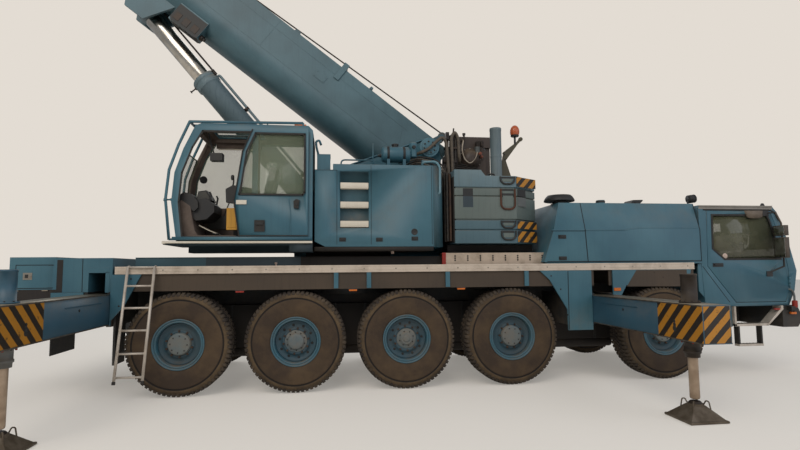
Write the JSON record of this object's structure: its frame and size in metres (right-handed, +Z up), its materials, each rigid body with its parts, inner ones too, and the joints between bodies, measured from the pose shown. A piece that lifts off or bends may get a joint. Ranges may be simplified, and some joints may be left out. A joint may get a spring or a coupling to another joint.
{
  "type": "five-axle mobile crane",
  "caption": "All-terrain mobile crane with telescopic boom, slewing superstructure, outriggers with jacks, steered axles and two cabs.",
  "frame": {"origin": "on the ground under the middle of the whole crane's box, boom at rest", "axes": "+X forward towards the carrier cab, +Y to the carrier's left, +Z up"},
  "size_m": [16.7174, 7.88, 11.2084],
  "materials": {
    "amber_lens": "clear moulded",
    "bare_aluminium": "milled, oxidised",
    "black_trim": "matt",
    "blue_paint": "semi-gloss enamel, weathered",
    "cab_glass": "tinted",
    "cab_interior": "grained",
    "cast_iron": "painted casting",
    "chromed_rod": "hard chrome",
    "dark_running_gear": "greasy enamel",
    "deck_paint": "worn enamel, dusty",
    "hook_paint": "worn enamel",
    "jack_steel": "oiled, dusty",
    "tyre_rubber": "dusty rubber",
    "white_paint": "semi-gloss enamel"
  },
  "bodies": {
    "carrier": {"chassis": "blue_paint", "deck": "deck_paint", "rails_and_ladders": "bare_aluminium", "side_panels": "blue_paint", "rear_boxes": "blue_paint", "axles": "dark_running_gear", "engine": "cast_iron", "engine_hood": "blue_paint", "bumpers_flaps_intake": "black_trim", "carrier_cab": "blue_paint", "carrier_glass": "cab_glass", "carrier_cab_fittings": "cab_interior"},
    "superstructure": {"turntable": "blue_paint", "machinery_houses": "blue_paint", "louvre_slats": "white_paint", "tanks_and_filters": "blue_paint", "counterweight": "blue_paint", "winch": "dark_running_gear", "beacon": "amber_lens", "operator_cab": "blue_paint", "operator_glass": "cab_glass", "operator_seat": "cab_interior"},
    "carrier_door_left": {"carrier_door_left": "blue_paint"},
    "carrier_door_right": {"carrier_door_right": "blue_paint"},
    "cab_door": {"cab_door": "blue_paint"},
    "boom_base": {"boom_base": "blue_paint"},
    "boom_section_2": {"boom_section_2": "blue_paint"},
    "boom_section_3": {"boom_section_3": "blue_paint"},
    "boom_section_4": {"boom_section_4": "blue_paint"},
    "hook_block": {"hook_block": "hook_paint"},
    "luff_rod": {"luff_rod": "chromed_rod"},
    "luff_barrel": {"luff_barrel": "blue_paint"},
    "wheel_1_right": {"wheel_1_right": "tyre_rubber"},
    "wheel_1_left": {"wheel_1_left": "tyre_rubber"},
    "wheel_2_right": {"wheel_2_right": "tyre_rubber"},
    "wheel_2_left": {"wheel_2_left": "tyre_rubber"},
    "wheel_3_right": {"wheel_3_right": "tyre_rubber"},
    "wheel_3_left": {"wheel_3_left": "tyre_rubber"},
    "wheel_4_right": {"wheel_4_right": "tyre_rubber"},
    "wheel_4_left": {"wheel_4_left": "tyre_rubber"},
    "wheel_5_right": {"wheel_5_right": "tyre_rubber"},
    "wheel_5_left": {"wheel_5_left": "tyre_rubber"},
    "knuckle_1_right": {"knuckle_1_right": "dark_running_gear"},
    "knuckle_1_left": {"knuckle_1_left": "dark_running_gear"},
    "knuckle_2_right": {"knuckle_2_right": "dark_running_gear"},
    "knuckle_2_left": {"knuckle_2_left": "dark_running_gear"},
    "knuckle_4_right": {"knuckle_4_right": "dark_running_gear"},
    "knuckle_4_left": {"knuckle_4_left": "dark_running_gear"},
    "knuckle_5_right": {"knuckle_5_right": "dark_running_gear"},
    "knuckle_5_left": {"knuckle_5_left": "dark_running_gear"},
    "outrigger_beam_front_right": {"outrigger_beam_front_right": "blue_paint"},
    "outrigger_beam_front_left": {"outrigger_beam_front_left": "blue_paint"},
    "outrigger_beam_rear_right": {"outrigger_beam_rear_right": "blue_paint"},
    "outrigger_beam_rear_left": {"outrigger_beam_rear_left": "blue_paint"},
    "outrigger_jack_front_right": {"outrigger_jack_front_right": "jack_steel"},
    "outrigger_jack_front_left": {"outrigger_jack_front_left": "jack_steel"},
    "outrigger_jack_rear_right": {"outrigger_jack_rear_right": "jack_steel"},
    "outrigger_jack_rear_left": {"outrigger_jack_rear_left": "jack_steel"}
  },
  "joints": [
    {"name": "slew", "type": "hinge", "parent": "carrier", "child": "superstructure", "pos_m": [0.74869, 0, 1.985], "axis": [0, 0, 1], "continuous": true},
    {"name": "luff", "type": "hinge", "parent": "superstructure", "child": "boom_base", "pos_m": [2.13869, 0, 3.88], "axis": [0, 1, 0], "range_deg": [-37.5, 44.5]},
    {"name": "telescope_2", "type": "slide", "parent": "boom_base", "child": "boom_section_2", "axis": [-0.7934, 0, 0.6088], "range_m": [0, 8.5]},
    {"name": "telescope_3", "type": "slide", "parent": "boom_section_2", "child": "boom_section_3", "axis": [-0.7934, 0, 0.6088], "range_m": [0, 8.5]},
    {"name": "telescope_4", "type": "slide", "parent": "boom_section_3", "child": "boom_section_4", "axis": [-0.7934, 0, 0.6088], "range_m": [0, 8.5]},
    {"name": "hook_swing", "type": "hinge", "parent": "boom_section_4", "child": "hook_block", "pos_m": [-8.07869, 0, 10.35875], "axis": [0, 1, 0], "range_deg": [-45.5, 38.5]},
    {"name": "luff_rod_eye", "type": "hinge", "parent": "boom_base", "child": "luff_rod", "pos_m": [-2.80131, 0, 6.38], "axis": [0, 1, 0], "range_deg": [-2.38, 2.73]},
    {"name": "luff_stroke", "type": "slide", "parent": "luff_rod", "child": "luff_barrel", "axis": [0.644, 0, -0.7651], "range_m": [-1.3125, 1.5556]},
    {"name": "cab_door_slide", "type": "slide", "parent": "superstructure", "child": "cab_door", "axis": [-1, 0, 0], "range_m": [0, 0.86]},
    {"name": "carrier_door_right_hinge", "type": "hinge", "parent": "carrier", "child": "carrier_door_right", "pos_m": [8.17069, -1.405, 1.95], "axis": [0, 0, 1], "range_deg": [0, 68]},
    {"name": "carrier_door_left_hinge", "type": "hinge", "parent": "carrier", "child": "carrier_door_left", "pos_m": [8.17069, 1.405, 1.95], "axis": [0, 0, -1], "range_deg": [0, 68]},
    {"name": "outrigger_front_right", "type": "slide", "parent": "carrier", "child": "outrigger_beam_front_right", "axis": [0, -1, 0], "range_m": [-2.43, 0]},
    {"name": "jack_front_right", "type": "slide", "parent": "outrigger_beam_front_right", "child": "outrigger_jack_front_right", "axis": [0, 0, 1], "range_m": [0, 0.5]},
    {"name": "outrigger_front_left", "type": "slide", "parent": "carrier", "child": "outrigger_beam_front_left", "axis": [0, 1, 0], "range_m": [-2.43, 0]},
    {"name": "jack_front_left", "type": "slide", "parent": "outrigger_beam_front_left", "child": "outrigger_jack_front_left", "axis": [0, 0, 1], "range_m": [0, 0.5]},
    {"name": "outrigger_rear_right", "type": "slide", "parent": "carrier", "child": "outrigger_beam_rear_right", "axis": [0, -1, 0], "range_m": [-2.43, 0]},
    {"name": "jack_rear_right", "type": "slide", "parent": "outrigger_beam_rear_right", "child": "outrigger_jack_rear_right", "axis": [0, 0, 1], "range_m": [0, 0.5]},
    {"name": "outrigger_rear_left", "type": "slide", "parent": "carrier", "child": "outrigger_beam_rear_left", "axis": [0, 1, 0], "range_m": [-2.43, 0]},
    {"name": "jack_rear_left", "type": "slide", "parent": "outrigger_beam_rear_left", "child": "outrigger_jack_rear_left", "axis": [0, 0, 1], "range_m": [0, 0.5]},
    {"name": "steer_1_right", "type": "hinge", "parent": "carrier", "child": "knuckle_1_right", "pos_m": [5.78569, -1.22, 0.74], "axis": [0, 0, 1], "range_deg": [-32, 32]},
    {"name": "spin_1_right", "type": "hinge", "parent": "knuckle_1_right", "child": "wheel_1_right", "pos_m": [5.78569, -1.28, 0.74], "axis": [0, 1, 0], "continuous": true},
    {"name": "steer_1_left", "type": "hinge", "parent": "carrier", "child": "knuckle_1_left", "pos_m": [5.78569, 1.22, 0.74], "axis": [0, 0, 1], "range_deg": [-32, 32]},
    {"name": "spin_1_left", "type": "hinge", "parent": "knuckle_1_left", "child": "wheel_1_left", "pos_m": [5.78569, 1.28, 0.74], "axis": [0, 1, 0], "continuous": true},
    {"name": "steer_2_right", "type": "hinge", "parent": "carrier", "child": "knuckle_2_right", "pos_m": [3.24469, -1.22, 0.74], "axis": [0, 0, 1], "range_deg": [-14, 14]},
    {"name": "spin_2_right", "type": "hinge", "parent": "knuckle_2_right", "child": "wheel_2_right", "pos_m": [3.24469, -1.28, 0.74], "axis": [0, 1, 0], "continuous": true},
    {"name": "steer_2_left", "type": "hinge", "parent": "carrier", "child": "knuckle_2_left", "pos_m": [3.24469, 1.22, 0.74], "axis": [0, 0, 1], "range_deg": [-14, 14]},
    {"name": "spin_2_left", "type": "hinge", "parent": "knuckle_2_left", "child": "wheel_2_left", "pos_m": [3.24469, 1.28, 0.74], "axis": [0, 1, 0], "continuous": true},
    {"name": "spin_3_right", "type": "hinge", "parent": "carrier", "child": "wheel_3_right", "pos_m": [1.59869, -1.28, 0.74], "axis": [0, 1, 0], "continuous": true},
    {"name": "spin_3_left", "type": "hinge", "parent": "carrier", "child": "wheel_3_left", "pos_m": [1.59869, 1.28, 0.74], "axis": [0, 1, 0], "continuous": true},
    {"name": "steer_4_right", "type": "hinge", "parent": "carrier", "child": "knuckle_4_right", "pos_m": [-0.04731, -1.22, 0.74], "axis": [0, 0, 1], "range_deg": [-8, 8]},
    {"name": "spin_4_right", "type": "hinge", "parent": "knuckle_4_right", "child": "wheel_4_right", "pos_m": [-0.04731, -1.28, 0.74], "axis": [0, 1, 0], "continuous": true},
    {"name": "steer_4_left", "type": "hinge", "parent": "carrier", "child": "knuckle_4_left", "pos_m": [-0.04731, 1.22, 0.74], "axis": [0, 0, 1], "range_deg": [-8, 8]},
    {"name": "spin_4_left", "type": "hinge", "parent": "knuckle_4_left", "child": "wheel_4_left", "pos_m": [-0.04731, 1.28, 0.74], "axis": [0, 1, 0], "continuous": true},
    {"name": "steer_5_right", "type": "hinge", "parent": "carrier", "child": "knuckle_5_right", "pos_m": [-1.69331, -1.22, 0.74], "axis": [0, 0, 1], "range_deg": [-15, 15]},
    {"name": "spin_5_right", "type": "hinge", "parent": "knuckle_5_right", "child": "wheel_5_right", "pos_m": [-1.69331, -1.28, 0.74], "axis": [0, 1, 0], "continuous": true},
    {"name": "steer_5_left", "type": "hinge", "parent": "carrier", "child": "knuckle_5_left", "pos_m": [-1.69331, 1.22, 0.74], "axis": [0, 0, 1], "range_deg": [-15, 15]},
    {"name": "spin_5_left", "type": "hinge", "parent": "knuckle_5_left", "child": "wheel_5_left", "pos_m": [-1.69331, 1.28, 0.74], "axis": [0, 1, 0], "continuous": true}
  ],
  "couplings": [
    {"joint": "telescope_3", "follows": "telescope_2", "ratio": 1},
    {"joint": "telescope_4", "follows": "telescope_2", "ratio": 1},
    {"joint": "hook_swing", "follows": "luff", "ratio": -1},
    {"joint": "luff_rod_eye", "follows": "luff", "ratio": 0.05},
    {"joint": "luff_stroke", "follows": "luff", "m_per_rad": 1.99},
    {"joint": "steer_1_left", "follows": "steer_1_right", "ratio": 1},
    {"joint": "steer_2_right", "follows": "steer_1_right", "ratio": 0.4375},
    {"joint": "steer_2_left", "follows": "steer_1_right", "ratio": 0.4375},
    {"joint": "steer_4_right", "follows": "steer_5_right", "ratio": 0.53333},
    {"joint": "steer_4_left", "follows": "steer_5_right", "ratio": 0.53333},
    {"joint": "steer_5_left", "follows": "steer_5_right", "ratio": 1}
  ]
}
